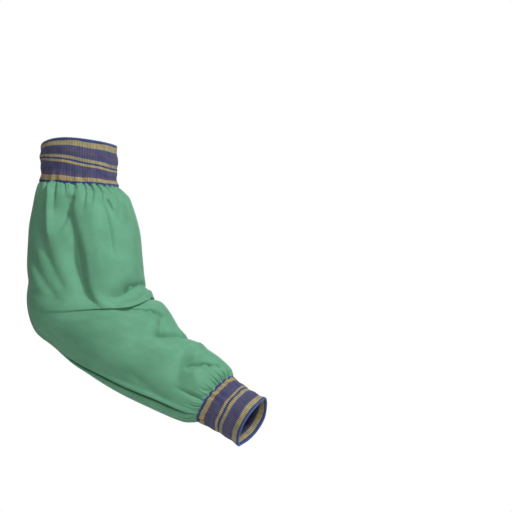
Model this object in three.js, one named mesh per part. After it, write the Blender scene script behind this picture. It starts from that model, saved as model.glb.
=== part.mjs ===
// A welder's protective sleeve: a loose tube of green flame-retardant cotton, gathered into a wide striped
// elastic band at the upper arm and another at the wrist. It keeps the bent form that it has on an arm.
// Millimetres. The origin is the middle of the upper band, +Z runs up the upper arm, +X towards the wrist,
// and -Y is the front, towards the viewer.
import * as THREE from "three";

// The elastic bands: both are cut from the same woven elastic.
const BAND_WIDTH = 65;
const BAND_WALL = 2.4;
const SELVEDGE_RISE = 0.5; // how far the corded edges stand above the band
const SELVEDGE_WIDTH = 3;
const UPPER_ACROSS = 109; // outside of the upper band, side to side
const UPPER_DEEP = 84; // outside of the upper band, front to back
const WRIST_ACROSS = 73;
const WRIST_DEEP = 47;

// The cloth tube between the bands.
const CLOTH_WALL = 1.4;
const CLOTH_ACROSS = 160;
const CLOTH_DEEP = 124;
const SEAM_LAP = 8; // cloth sewn inside each band
const SEAM_GAP = 0.4; // clearance between the cloth and the band around it
const SEAM_RELIEF = 1.2; // straight cloth past the band's edge, before it swells

// How the arm's bend carries the wrist seam away from the upper seam.
const SLEEVE_DROP = 290;
const SLEEVE_REACH = 194;
const SLEEVE_FORWARD = 86;
const WRIST_BELOW = 28; // degrees below the horizontal that the wrist band points
const WRIST_FORWARD = 29; // degrees that it turns towards the front

// Gathers where the cloth is sewn to a band.
const PLEATS = 20;
const PLEAT_DEPTH = 3;
const PLEAT_UNEVENNESS = 0.28; // share by which some gathers are lower than the highest ones
const PLEAT_RUN_IN = 0.3; // share of its length over which a gather rises from the seam
const UPPER_PLEAT_LENGTH = 46;
const WRIST_PLEAT_LENGTH = 30;

// The overlap where the upper arm's cloth folds over the forearm's at the elbow.
const ELBOW_AT = 0.438;
const ELBOW_RISE = 7;
const ELBOW_OVERLAP = 7;
const ELBOW_SPREAD = 25;
const ELBOW_HANG = 32; // how far the crease hangs at the front, past its place at the inner side
const ELBOW_HANG_REACH = 60;

// The pleat that hangs along the underside of the forearm.
const UNDERFOLD_DEPTH = 7;
const UNDERFOLD_SPREAD = 9;
const UNDERFOLD_LIP = 0.35; // share of the depth by which the panel in front of the pleat stands proud
const UNDERFOLD_VALLEY_AT = 0.5; // where the pleat's valley is and how wide, as shares of the spread
const UNDERFOLD_VALLEY_WIDTH = 0.8;

const STEPS_PER_PLEAT = 3;
const STEPS_AROUND = PLEATS * STEPS_PER_PLEAT;
const WRIST_TURN = 90 - WRIST_BELOW; // how far the wrist band's edges are turned from the upper band's

// Sections of the cloth, from the upper seam to the wrist seam. at is the share of the tube's length; reach,
// drop and forward are shares of the sleeve's; across and deep are shares of the cloth's, and lean is a share
// of the wrist band's turn. At the two seams the band sets across, deep and lean.
const SECTIONS = [
  { at: 0.0, reach: 0.0, drop: 0.0, forward: 0.0, across: 0.0, deep: 0.0, lean: -0.06 },
  { at: 0.02, reach: 0.012, drop: 0.027, forward: 0.003, across: 0.73, deep: 0.72, lean: -0.05 },
  { at: 0.05, reach: 0.026, drop: 0.067, forward: 0.012, across: 0.815, deep: 0.82, lean: -0.02 },
  { at: 0.163, reach: 0.045, drop: 0.219, forward: 0.09, across: 0.96, deep: 0.95, lean: 0.0 },
  { at: 0.28, reach: 0.057, drop: 0.377, forward: 0.186, across: 1.0, deep: 1.0, lean: 0.02 },
  { at: 0.375, reach: 0.07, drop: 0.505, forward: 0.24, across: 1.03, deep: 1.03, lean: 0.07 },
  { at: 0.438, reach: 0.105, drop: 0.589, forward: 0.279, across: 1.075, deep: 1.03, lean: 0.12 },
  { at: 0.489, reach: 0.168, drop: 0.639, forward: 0.337, across: 1.11, deep: 1.01, lean: 0.22 },
  { at: 0.549, reach: 0.257, drop: 0.693, forward: 0.407, across: 1.05, deep: 0.97, lean: 0.25 },
  { at: 0.637, reach: 0.381, drop: 0.776, forward: 0.5, across: 0.945, deep: 0.89, lean: 0.3 },
  { at: 0.759, reach: 0.58, drop: 0.863, forward: 0.651, across: 0.82, deep: 0.79, lean: 0.45 },
  { at: 0.87, reach: 0.773, drop: 0.926, forward: 0.8, across: 0.715, deep: 0.64, lean: 0.6 },
  { at: 0.966, reach: 0.939, drop: 0.985, forward: 0.942, across: 0.585, deep: 0.46, lean: 0.76 },
  { at: 1.0, reach: 1.0, drop: 1.0, forward: 1.0, across: 0.0, deep: 0.0, lean: 0.85 },
];

// Rings of a band, from its seam to its open rim. rise is how far the sides stand from the seam and bow how
// far the front and back stand past the sides, both as shares of the band's width. across and deep are
// shares of the band's own, lean is a share of the wrist band's turn, and pinch over 1 makes the sides
// pointed.
const UPPER_RINGS = [
  { at: 0.0, rise: 0.0, bow: -0.03, across: 1.0, deep: 1.0, pinch: 1.08, lean: -0.06 },
  { at: 0.25, rise: 0.205, bow: 0.0, across: 0.965, deep: 0.98, pinch: 1.08, lean: -0.07 },
  { at: 0.6, rise: 0.49, bow: 0.045, across: 1.0, deep: 0.99, pinch: 1.08, lean: -0.07 },
  { at: 1.0, rise: 0.82, bow: 0.12, across: 0.965, deep: 0.97, pinch: 1.06, lean: 0.0 },
];
const WRIST_RINGS = [
  { at: 0.0, rise: 0.0, bow: 0.0, across: 1.03, deep: 1.0, pinch: 1.1, lean: 0.85 },
  { at: 0.35, rise: 0.35, bow: 0.0, across: 0.97, deep: 0.97, pinch: 1.15, lean: 0.9 },
  { at: 0.7, rise: 0.69, bow: 0.01, across: 0.95, deep: 0.98, pinch: 1.25, lean: 0.94 },
  { at: 1.0, rise: 0.97, bow: 0.03, across: 0.98, deep: 1.04, pinch: 1.35, lean: 0.98 },
];

// Folds of the cloth, each a line from one place to another. around is in degrees: 0 is the inner side of
// the elbow, 90 the front and 180 the outer side. width and depth are shares of the cloth's own width, and
// a negative depth is a ridge.
const FOLDS = [
  { at: 0.14, around: 106, toAt: 0.42, toAround: 88, width: 0.05, depth: 0.036 },
  { at: 0.15, around: 90, toAt: 0.42, toAround: 72, width: 0.07, depth: -0.022 },
  { at: 0.165, around: 160, toAt: 0.35, toAround: 100, width: 0.08, depth: 0.036 },
  { at: 0.02, around: 122, toAt: 0.19, toAround: 117, width: 0.035, depth: -0.02 },
  { at: 0.03, around: 108, toAt: 0.15, toAround: 108, width: 0.03, depth: 0.018 },
  { at: 0.365, around: 162, toAt: 0.415, toAround: 118, width: 0.06, depth: 0.028 },
  { at: 0.115, around: 62, toAt: 0.245, toAround: 57, width: 0.04, depth: 0.018 },
  { at: 0.055, around: 53, toAt: 0.145, toAround: 48, width: 0.03, depth: 0.014 },
  { at: 0.38, around: 46, toAt: 0.42, toAround: 40, width: 0.055, depth: 0.036 },
  { at: 0.435, around: 50, toAt: 0.395, toAround: 5, width: 0.03, depth: 0.022 },
  { at: 0.53, around: 60, toAt: 0.57, toAround: 38, width: 0.035, depth: 0.024 },
  { at: 0.6, around: 40, toAt: 0.65, toAround: 51, width: 0.045, depth: 0.024 },
  { at: 0.69, around: 50, toAt: 0.74, toAround: 18, width: 0.035, depth: 0.034 },
  { at: 0.79, around: 50, toAt: 0.87, toAround: 82, width: 0.04, depth: 0.026 },
  { at: 0.8, around: 36, toAt: 0.89, toAround: 68, width: 0.035, depth: -0.018 },
  { at: 0.885, around: 64, toAt: 0.915, toAround: 38, width: 0.03, depth: 0.024 },
  { at: 0.89, around: 107, toAt: 0.975, toAround: 103, width: 0.035, depth: 0.028 },
  { at: 0.1, around: 232, toAt: 0.36, toAround: 262, width: 0.07, depth: 0.034 },
  { at: 0.09, around: 308, toAt: 0.33, toAround: 286, width: 0.06, depth: 0.028 },
  { at: 0.4, around: 345, toAt: 0.47, toAround: 262, width: 0.06, depth: 0.034 },
  { at: 0.5, around: 352, toAt: 0.56, toAround: 288, width: 0.05, depth: 0.026 },
  { at: 0.6, around: 230, toAt: 0.88, toAround: 248, width: 0.055, depth: 0.026 },
  { at: 0.66, around: 334, toAt: 0.86, toAround: 300, width: 0.045, depth: 0.024 },
];

// How strong the elbow's overlap is around the sleeve and how far it hangs, and its profile across the
// crease, where at is a share of the overlap's spread, slide of the overlap and rise of its rise.
const ELBOW_CREASE = [
  { at: 0, strength: 1.0, hang: 0.0 },
  { at: 15, strength: 1.0, hang: 0.08 },
  { at: 26, strength: 1.0, hang: 0.4 },
  { at: 45, strength: 1.0, hang: 0.93 },
  { at: 62, strength: 1.0, hang: 1.0 },
  { at: 90, strength: 0.9, hang: 0.76 },
  { at: 117, strength: 0.75, hang: 0.44 },
  { at: 140, strength: 0.5, hang: 0.14 },
  { at: 170, strength: 0.0, hang: 0.0 },
  { at: 220, strength: 0.0, hang: 0.0 },
  { at: 290, strength: 0.45, hang: 0.0 },
  { at: 330, strength: 0.7, hang: 0.0 },
  { at: 360, strength: 1.0, hang: 0.0 },
];
const ELBOW_PROFILE = [
  { at: -1.0, slide: 0.0, rise: 0.0 },
  { at: -0.52, slide: 0.35, rise: 0.6 },
  { at: -0.2, slide: 0.85, rise: 0.95 },
  { at: -0.04, slide: 1.1, rise: 0.55 },
  { at: 0.08, slide: 0.85, rise: -0.25 },
  { at: 0.3, slide: 0.1, rise: -0.5 },
  { at: 0.66, slide: 0.0, rise: -0.15 },
  { at: 1.0, slide: 0.0, rise: 0.0 },
];

// The line that the forearm's underfold follows, by its place around the sleeve, and its strength.
const UNDERFOLD = [
  { at: 0.55, around: 176, strength: 0.0 },
  { at: 0.6, around: 168, strength: 0.5 },
  { at: 0.65, around: 164, strength: 0.8 },
  { at: 0.71, around: 157, strength: 1.0 },
  { at: 0.85, around: 145, strength: 1.0 },
  { at: 0.92, around: 139, strength: 0.9 },
  { at: 1.0, around: 136, strength: 0.0 },
];

// Where the cloth's rows of points lie, as shares of its length, apart from those of the elbow's overlap.
const CLOTH_ROWS = [
  0.01, 0.03, 0.055, 0.085, 0.125, 0.175, 0.23, 0.285, 0.335, 0.54, 0.59, 0.64, 0.69, 0.74, 0.785, 0.825,
  0.86, 0.89, 0.917, 0.942, 0.965, 0.985,
];
// Where the bands' rings of points lie, apart from the corded edges.
const BAND_INSIDE_ROWS = [0.25, 0.5, 0.75];

// Roughly how much of the cloth one degree around the sleeve takes.
const CLOTH_PER_DEGREE = (Math.PI * (CLOTH_ACROSS + CLOTH_DEEP)) / 720;

const radians = THREE.MathUtils.degToRad;
const smoothstep = THREE.MathUtils.smoothstep;
const vector = (x, y, z) => new THREE.Vector3(x, y, z);

// One column of a table at a place along it: a smooth cubic through the rows, with its end slopes where they
// are given.
function columnAt(rows, name, at, slopes = {}) {
  let i = 0;
  while (i < rows.length - 2 && at > rows[i + 1].at) i++;
  const slopeAt = (k) => {
    const before = rows[Math.max(k - 1, 0)];
    const after = rows[Math.min(k + 1, rows.length - 1)];
    if (k === 0 && slopes.first !== undefined) return slopes.first;
    if (k === rows.length - 1 && slopes.last !== undefined) return slopes.last;
    return (after[name] - before[name]) / (after.at - before.at);
  };
  const span = rows[i + 1].at - rows[i].at;
  const t = THREE.MathUtils.clamp((at - rows[i].at) / span, 0, 1);
  const fromStart = rows[i][name] * (1 + 2 * t) * (1 - t) ** 2 + slopeAt(i) * span * t * (1 - t) ** 2;
  const fromEnd = rows[i + 1][name] * t * t * (3 - 2 * t) - slopeAt(i + 1) * span * t * t * (1 - t);
  return fromStart + fromEnd;
}

// A band's own frame: where its seam is, which way it runs to its open rim, and whether that way is along
// the sleeve, from the upper arm to the wrist, or against it.
const upperOut = vector(0, 0, 1);
const wristOut = vector(
  Math.cos(radians(WRIST_BELOW)) * Math.cos(radians(WRIST_FORWARD)),
  -Math.sin(radians(WRIST_FORWARD)),
  -Math.sin(radians(WRIST_BELOW)) * Math.cos(radians(WRIST_FORWARD)),
);
const upperSeam = upperOut.clone().multiplyScalar(-BAND_WIDTH / 2);
const wristSeam = upperSeam.clone().add(vector(SLEEVE_REACH, -SLEEVE_FORWARD, -SLEEVE_DROP));
const UPPER_BAND = {
  seam: upperSeam,
  out: upperOut,
  alongSleeve: -1,
  across: UPPER_ACROSS,
  deep: UPPER_DEEP,
  rings: UPPER_RINGS,
};
const WRIST_BAND = {
  seam: wristSeam,
  out: wristOut,
  alongSleeve: 1,
  across: WRIST_ACROSS,
  deep: WRIST_DEEP,
  rings: WRIST_RINGS,
};

// The side and front directions of a leaning section, on a tube that runs along an axis.
function sectionFrame(axis, lean) {
  const angle = radians(WRIST_TURN * lean);
  const side = vector(Math.cos(angle), 0, Math.sin(angle));
  const front = axis.clone().cross(side).normalize();
  return { side, front };
}

// A point of an oval ring, and the way out of it, as sideways and frontal parts.
function oval(around, across, deep, pinch) {
  const angle = radians(around);
  const [c, s] = [Math.cos(angle), Math.sin(angle)];
  const bulge = Math.sign(s) * Math.abs(s) ** pinch;
  const outward = new THREE.Vector2(c / across, bulge / deep).normalize();
  return { side: (across / 2) * c, front: (deep / 2) * bulge, outSide: outward.x, outFront: outward.y };
}

// A point on a band's outer face. at runs from 0 at the seam to 1 at the rim.
function bandPoint(band, at, around) {
  const ring = (name) => columnAt(band.rings, name, at);
  const axis = band.out.clone().multiplyScalar(band.alongSleeve);
  const { side, front } = sectionFrame(axis, ring("lean"));
  const edge = oval(around, band.across * ring("across"), band.deep * ring("deep"), ring("pinch"));
  const bow = ring("bow") * Math.sin(radians(around)) ** 2;
  return band.seam
    .clone()
    .addScaledVector(band.out, BAND_WIDTH * (ring("rise") + bow))
    .addScaledVector(side, edge.side)
    .addScaledVector(front, edge.front);
}

// The cloth's size at a place along it: the table's, or at the two seams the inside of the band there.
const insideBand = 2 * (BAND_WALL + SEAM_GAP);
const clothSections = SECTIONS.map((row, i) => {
  const band = i === 0 ? UPPER_BAND : WRIST_BAND;
  const atSeam = i === 0 || i === SECTIONS.length - 1;
  return {
    at: row.at,
    x: upperSeam.x + row.reach * SLEEVE_REACH,
    y: upperSeam.y - row.forward * SLEEVE_FORWARD,
    z: upperSeam.z - row.drop * SLEEVE_DROP,
    across: atSeam ? band.across * band.rings[0].across - insideBand : row.across * CLOTH_ACROSS,
    deep: atSeam ? band.deep * band.rings[0].deep - insideBand : row.deep * CLOTH_DEEP,
    pinch: atSeam ? band.rings[0].pinch : 1,
    lean: atSeam ? band.rings[0].lean : row.lean,
  };
});
const clothLength = clothSections.slice(1).reduce((sum, row, i) => {
  const before = clothSections[i];
  return sum + Math.hypot(row.x - before.x, row.y - before.y, row.z - before.z);
}, 0);

function clothCentre(at) {
  const firstTangent = upperOut.clone().multiplyScalar(-clothLength);
  const lastTangent = wristOut.clone().multiplyScalar(clothLength);
  const part = (name) => {
    const slopes = { first: firstTangent[name], last: lastTangent[name] };
    return columnAt(clothSections, name, at, slopes);
  };
  return vector(part("x"), part("y"), part("z"));
}

// The gathers: pleats of uneven height that start at a seam and run out along the cloth. Two slow waves
// around the tube, of five and three turns, make some of them lower.
function pleatHeight(at, around) {
  const slowWaves = Math.sin(radians(around) * 5 + 1.3) * Math.cos(radians(around) * 3);
  const evenness = 1 - PLEAT_UNEVENNESS + PLEAT_UNEVENNESS * slowWaves;
  const wave = Math.cos(radians(around) * PLEATS);
  const fromUpper = at * clothLength;
  const fromWrist = (1 - at) * clothLength;
  const fade = (distance, length) =>
    smoothstep(distance, SEAM_RELIEF, length * PLEAT_RUN_IN) * Math.exp(-((distance / length) ** 2));
  const strength = fade(fromUpper, UPPER_PLEAT_LENGTH) + fade(fromWrist, WRIST_PLEAT_LENGTH);
  return PLEAT_DEPTH * evenness * wave * strength;
}

// How far one fold lowers the cloth at a place.
function foldDepth(fold, at, around) {
  const turn = ((around - fold.around + 540) % 360) - 180;
  const along = (at - fold.at) * clothLength;
  const sideways = turn * CLOTH_PER_DEGREE;
  const runAlong = (fold.toAt - fold.at) * clothLength;
  const runSideways = (fold.toAround - fold.around) * CLOTH_PER_DEGREE;
  const run = Math.hypot(runAlong, runSideways);
  const share = (along * runAlong + sideways * runSideways) / (run * run);
  const off = (along * runSideways - sideways * runAlong) / run;
  const past = Math.max(0, -share, share - 1) * run;
  const width = fold.width * CLOTH_ACROSS;
  return fold.depth * CLOTH_ACROSS * Math.exp(-((off / width) ** 2) - (past / width) ** 2);
}

// The elbow's overlap: how far a point stands out, and how far it slides towards the wrist.
function elbowOverlap(at, around) {
  const strength = columnAt(ELBOW_CREASE, "strength", around);
  const offset = ((at - ELBOW_AT) * clothLength) / ELBOW_SPREAD;
  if (Math.abs(offset) >= 1) return { rise: 0, slide: 0 };
  return {
    rise: strength * ELBOW_RISE * columnAt(ELBOW_PROFILE, "rise", offset),
    slide: strength * ELBOW_OVERLAP * columnAt(ELBOW_PROFILE, "slide", offset),
  };
}

// The forearm's underfold: the front panel stands proud, and the strip behind it is drawn in.
function underfoldRise(at, around) {
  if (at <= UNDERFOLD[0].at) return 0;
  const turn = around - columnAt(UNDERFOLD, "around", at);
  const offset = (turn * CLOTH_PER_DEGREE) / UNDERFOLD_SPREAD;
  const proud = UNDERFOLD_LIP * Math.exp(-((offset + 1) ** 2));
  const drawnIn = Math.exp(-(((offset - UNDERFOLD_VALLEY_AT) / UNDERFOLD_VALLEY_WIDTH) ** 2));
  return UNDERFOLD_DEPTH * columnAt(UNDERFOLD, "strength", at) * (proud - drawnIn);
}

// A point on the cloth's outer face. row runs from 0 at the upper seam to 1 at the wrist seam.
function clothPoint(row, around) {
  const nearElbow = Math.exp(-((((row - ELBOW_AT) * clothLength) / ELBOW_HANG_REACH) ** 2));
  const at = row + (ELBOW_HANG / clothLength) * nearElbow * columnAt(ELBOW_CREASE, "hang", around);
  const centre = clothCentre(at);
  const nearby = 0.004;
  const axis = clothCentre(Math.min(at + nearby, 1)).sub(clothCentre(Math.max(at - nearby, 0))).normalize();
  const size = (name) => columnAt(clothSections, name, at);
  const { side, front } = sectionFrame(axis, size("lean"));
  const ring = oval(around, size("across"), size("deep"), size("pinch"));
  const settled = smoothstep(Math.min(at, 1 - at) * clothLength, SEAM_RELIEF, 3 * SEAM_RELIEF);
  const { rise, slide } = elbowOverlap(row, around);
  const folds = FOLDS.reduce((sum, fold) => sum + foldDepth(fold, at, around), 0);
  const height = pleatHeight(at, around) + settled * (rise + underfoldRise(at, around) - folds);
  return centre
    .addScaledVector(side, ring.side + ring.outSide * height)
    .addScaledVector(front, ring.front + ring.outFront * height)
    .addScaledVector(axis, slide);
}

// Rows of points around a tube, and the way out of the surface at each.
const AROUND = Array.from({ length: STEPS_AROUND }, (_, i) => (360 * i) / STEPS_AROUND);

function rowNormals(rows) {
  const wrap = (j) => (j + STEPS_AROUND) % STEPS_AROUND;
  return rows.map((row, i) =>
    row.map((_, j) => {
      const before = rows[Math.max(i - 1, 0)][j];
      const after = rows[Math.min(i + 1, rows.length - 1)][j];
      const alongTube = after.clone().sub(before);
      const aroundTube = row[wrap(j + 1)].clone().sub(row[wrap(j - 1)]);
      return aroundTube.cross(alongTube).normalize();
    }),
  );
}

const shifted = (rows, normals, distance) =>
  rows.map((row, i) => row.map((point, j) => point.clone().addScaledVector(normals[i][j], distance)));

// One closed solid from the outer and inner rows of a tube that is open at both ends. Both faces are split
// along the same diagonals, so that the wall keeps its thickness.
function tubeGeometry(outerRows, innerRows) {
  const loop = [...outerRows, ...innerRows.slice().reverse()];
  const positions = loop.flat().flatMap((point) => point.toArray());
  const indices = [];
  for (let i = 0; i < loop.length; i++) {
    const [here, next] = [i * STEPS_AROUND, ((i + 1) % loop.length) * STEPS_AROUND];
    const outside = i < outerRows.length;
    for (let j = 0; j < STEPS_AROUND; j++) {
      const k = (j + 1) % STEPS_AROUND;
      const [a, b, c, d] = [here + j, here + k, next + j, next + k];
      indices.push(...(outside ? [a, b, c, b, d, c] : [a, b, d, a, d, c]));
    }
  }
  const geometry = new THREE.BufferGeometry();
  geometry.setAttribute("position", new THREE.Float32BufferAttribute(positions, 3));
  geometry.setIndex(indices);
  geometry.computeVertexNormals();
  return geometry;
}

// A band's outer face is corded along both edges, and its inner face follows it a wall's thickness in.
function bandGeometry(band) {
  const edge = SELVEDGE_WIDTH / BAND_WIDTH;
  const lap = SEAM_LAP / BAND_WIDTH;
  const plainRows = [0, lap, ...BAND_INSIDE_ROWS, 1];
  const cordedRows = [0, edge / 2, edge, ...BAND_INSIDE_ROWS, 1 - edge, 1 - edge / 2, 1];
  const ringsAt = (stations) => {
    const rows = stations.map((at) => AROUND.map((around) => bandPoint(band, at, around)));
    return band.alongSleeve > 0 ? rows : rows.reverse();
  };
  const plain = ringsAt(plainRows);
  const inner = shifted(plain, rowNormals(plain), -BAND_WALL);
  const outer = ringsAt(cordedRows);
  const normals = rowNormals(outer);
  const corded = outer.map((row, i) => {
    const cord = i === 1 || i === outer.length - 2 ? SELVEDGE_RISE : 0;
    return row.map((point, j) => point.clone().addScaledVector(normals[i][j], cord));
  });
  return tubeGeometry(corded, inner);
}

// The cloth's ends are tucked inside the bands, clear of them all round.
function tuckedRows(band) {
  const stations = [SEAM_LAP, -SEAM_RELIEF].map((distance) => distance / BAND_WIDTH);
  const rows = stations.map((at) =>
    AROUND.map((around) =>
      bandPoint(band, Math.max(at, 0), around).addScaledVector(band.out, Math.min(at, 0) * BAND_WIDTH),
    ),
  );
  const ordered = band.alongSleeve > 0 ? rows.reverse() : rows;
  return shifted(ordered, rowNormals(ordered), -(BAND_WALL + SEAM_GAP));
}

function clothGeometry() {
  const elbowRows = ELBOW_PROFILE.map((row) => ELBOW_AT + (row.at * ELBOW_SPREAD) / clothLength);
  const stations = [...CLOTH_ROWS, ...elbowRows].sort((a, b) => a - b);
  const middle = stations.map((at) => AROUND.map((around) => clothPoint(at, around)));
  const outer = [...tuckedRows(UPPER_BAND), ...middle, ...tuckedRows(WRIST_BAND)];
  const inner = shifted(outer, rowNormals(outer), -CLOTH_WALL);
  return tubeGeometry(outer, inner);
}

const clothMaterial = new THREE.MeshStandardMaterial({ color: 0x5fa583, roughness: 0.85, metalness: 0 });
const bandMaterial = new THREE.MeshStandardMaterial({ color: 0x55557f, roughness: 0.9, metalness: 0 });

function piece(name, geometry, material) {
  const mesh = new THREE.Mesh(geometry, material);
  mesh.name = name;
  return mesh;
}

const sleeve = new THREE.Group();
sleeve.add(piece("cloth_tube", clothGeometry(), clothMaterial));
sleeve.add(piece("upper_arm_band", bandGeometry(UPPER_BAND), bandMaterial));
sleeve.add(piece("wrist_band", bandGeometry(WRIST_BAND), bandMaterial));

export default sleeve;
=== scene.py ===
"""A welder's protective sleeve: green flame-retardant cotton, gathered into a striped elastic at each end.

Lengths in this script are millimetres until a mesh is made, and angles are degrees. The cloth and the bands
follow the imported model's form, which is built from tables of the same kind. Their fine gathers and folds, the
ribs and the corded edges are made here.
"""

import math

import bpy
import numpy as np
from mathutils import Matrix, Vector


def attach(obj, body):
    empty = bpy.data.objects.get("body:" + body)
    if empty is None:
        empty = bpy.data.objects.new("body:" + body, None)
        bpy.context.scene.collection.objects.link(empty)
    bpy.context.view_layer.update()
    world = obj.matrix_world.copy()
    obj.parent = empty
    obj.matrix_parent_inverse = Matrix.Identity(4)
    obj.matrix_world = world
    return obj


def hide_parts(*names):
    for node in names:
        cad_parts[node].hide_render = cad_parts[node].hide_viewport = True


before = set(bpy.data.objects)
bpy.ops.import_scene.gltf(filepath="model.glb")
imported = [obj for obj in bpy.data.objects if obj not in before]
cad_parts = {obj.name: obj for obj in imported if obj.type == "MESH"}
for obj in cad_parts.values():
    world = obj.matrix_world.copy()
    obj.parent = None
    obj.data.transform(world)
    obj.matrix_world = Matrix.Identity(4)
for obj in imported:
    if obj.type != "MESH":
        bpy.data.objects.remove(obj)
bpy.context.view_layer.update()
MM = 0.001

# The photograph's view: a long lens, level with the lower half of the upper arm, with the pair's middle at
# the picture's centre.
PHOTO_PIXELS = 512
LENS = 80.0
SENSOR = 36.0
MM_PER_PIXEL = 1.4
VIEW_X = 247.8
VIEW_Z = -133.0
VIEW_DISTANCE = MM_PER_PIXEL * PHOTO_PIXELS * LENS / SENSOR

# The elastic bands.
BAND_WIDTH = 65.0
BAND_WALL = 2.2
UPPER_ACROSS = 109.0
UPPER_DEEP = 84.0
WRIST_ACROSS = 73.0
WRIST_DEEP = 47.0
BOW_FLATNESS = 1.7
RIB_PITCH = 2.0
RIB_HEIGHT = 0.32
RIB_END = 0.03
RIB_COLUMNS = 6
BAND_ROWS = 40
# What the gathered cloth does to a band: ripples around it, strongest at the seam, and slow rolls along it.
# Waves are counted in one turn, and each drift of the rolls is its reach, in radians, and its waves.
RIPPLE_HEIGHT = 1.0
RIPPLE_WAVES = (23, 17)
RIPPLE_WANDER = 1.2
RIPPLE_WANDERS = 3
RIPPLE_REACH = 0.28
RIPPLE_REST = 0.3
ROLL_HEIGHT = 0.55
ROLLS = 3.2
ROLL_DRIFTS = [(1.5, 2), (0.8, 5)]
# How the stripes wander off their places: their lean's mean and swing around the band, and a small waver.
STRIPE_RISE = 0.4
STRIPE_TILT = 0.6
STRIPE_WAVER = 0.006
STRIPE_WAVERS = 7
STRIPE_TWIST = 3

# The corded edges.
CORD_RADIUS = 1.05
CORD_SIDES = 10
STITCH_PITCH = 2.6
SCALLOP = 0.16

# The cloth. Its inner face takes only some rows of the outer one. The columns crowd at the front, and the
# rows at the elbow, where the crease is.
CLOTH_WALL = 0.9
CLOTH_ROWS = 216
CLOTH_COLUMNS = 360
CLOTH_END = 0.004
INNER_STEP = 5
FRONT_CROWDING = 0.055
FRONT_TURN = 0.2
ELBOW_CROWDING = 0.022
ELBOW_CROWDED = 0.12
CLOTH_ACROSS = 160.0
CLOTH_DEEP = 124.0
# How far the cloth's ends run into the bands, and how deep they lie under the bands' faces.
SEAM_LAP = 8.0
SEAM_TUCK = 2.8
# From seam to seam, and then how far below level and how far forward the wrist band points.
SLEEVE_DROP = 290.0
SLEEVE_REACH = 194.0
SLEEVE_FORWARD = 86.0
WRIST_BELOW = 28.0
WRIST_FORWARD = 29.0
WRIST_TURN = 90.0 - WRIST_BELOW
ELBOW_AT = 0.438
ELBOW_RISE = 5.0
ELBOW_OVERLAP = 6.0
ELBOW_SPREAD = 25.0
ELBOW_HANG = 32.0
ELBOW_HANG_REACH = 60.0
UNDERFOLD_DEPTH = 8.5
UNDERFOLD_SPREAD = 7.0
# Across the underfold: the proud panel's edge, the valley behind it and the strip's round back, each as its
# place and width in shares of the spread and its height.
UNDERFOLD_PARTS = [(-0.9, 0.9, 0.4), (0.25, 0.5, -1.0), (1.5, 0.7, 0.35)]
# The way along the sleeve is taken over a stretch that is short at the seams and longer between them.
TANGENT_LEAST = 0.004
TANGENT_REACH = 0.1
TANGENT_RUN_IN = 0.2
# How much more pointed than an oval the sections are at each seam, and how fast that fades along the sleeve.
UPPER_PINCH = 0.08
WRIST_PINCH = 0.1
PINCH_FADE = 30
# From a seam on, in millimetres: where folds begin and are whole, and where gathers do.
FOLDS_BEGIN = (1.2, 6)
GATHERS_BEGIN = (-0.5, 2.5)
GATHER_SWELL = 1.6
GATHER_REACH = 30.0
CLOTH_PER_DEGREE = math.pi * (CLOTH_ACROSS + CLOTH_DEEP) / 2 / 360


def table(names, rows):
    """A table's named columns, each as an array."""
    return {name: np.array(column, float) for name, column in zip(names.split(), zip(*rows))}


# Sections of the cloth from the upper seam to the wrist seam, in shares of the cloth's and sleeve's sizes.
SECTIONS = table(
    "at reach drop forward across deep lean",
    [
        (0.0, 0.0, 0.0, 0.0, 0.668, 0.64, -0.06),
        (0.02, 0.012, 0.027, 0.003, 0.745, 0.735, -0.05),
        (0.05, 0.026, 0.067, 0.012, 0.825, 0.83, -0.02),
        (0.163, 0.045, 0.219, 0.09, 0.96, 0.95, 0.0),
        (0.28, 0.057, 0.377, 0.186, 1.0, 1.0, 0.02),
        (0.375, 0.07, 0.505, 0.24, 1.03, 1.03, 0.07),
        (0.438, 0.105, 0.589, 0.279, 1.075, 1.03, 0.12),
        (0.489, 0.168, 0.639, 0.337, 1.11, 1.01, 0.22),
        (0.549, 0.257, 0.693, 0.407, 1.05, 0.97, 0.25),
        (0.637, 0.381, 0.776, 0.5, 0.945, 0.89, 0.3),
        (0.759, 0.58, 0.863, 0.651, 0.82, 0.79, 0.45),
        (0.87, 0.773, 0.926, 0.8, 0.715, 0.64, 0.61),
        (0.966, 0.939, 0.985, 0.942, 0.585, 0.46, 0.76),
        (1.0, 1.0, 1.0, 1.0, 0.45, 0.345, 0.86),
    ],
)
# Rings of each band from its seam to its rim. rise and bow are shares of its width.
UPPER_RINGS = table(
    "at rise bow across deep pinch lean",
    [
        (0.0, 0.0, -0.03, 1.0, 1.0, 1.08, -0.06),
        (0.25, 0.205, 0.0, 0.965, 0.98, 1.08, -0.07),
        (0.6, 0.49, 0.045, 1.0, 0.99, 1.08, -0.07),
        (1.0, 0.82, 0.12, 0.965, 0.97, 1.06, 0.0),
    ],
)
WRIST_RINGS = table(
    "at rise bow across deep pinch lean",
    [
        (0.0, 0.0, 0.0, 1.03, 1.0, 1.1, 0.86),
        (0.35, 0.35, 0.0, 0.97, 0.97, 1.15, 0.9),
        (0.7, 0.69, 0.01, 0.95, 0.98, 1.25, 0.94),
        (1.0, 0.97, 0.03, 0.985, 1.05, 1.6, 0.98),
    ],
)
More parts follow.
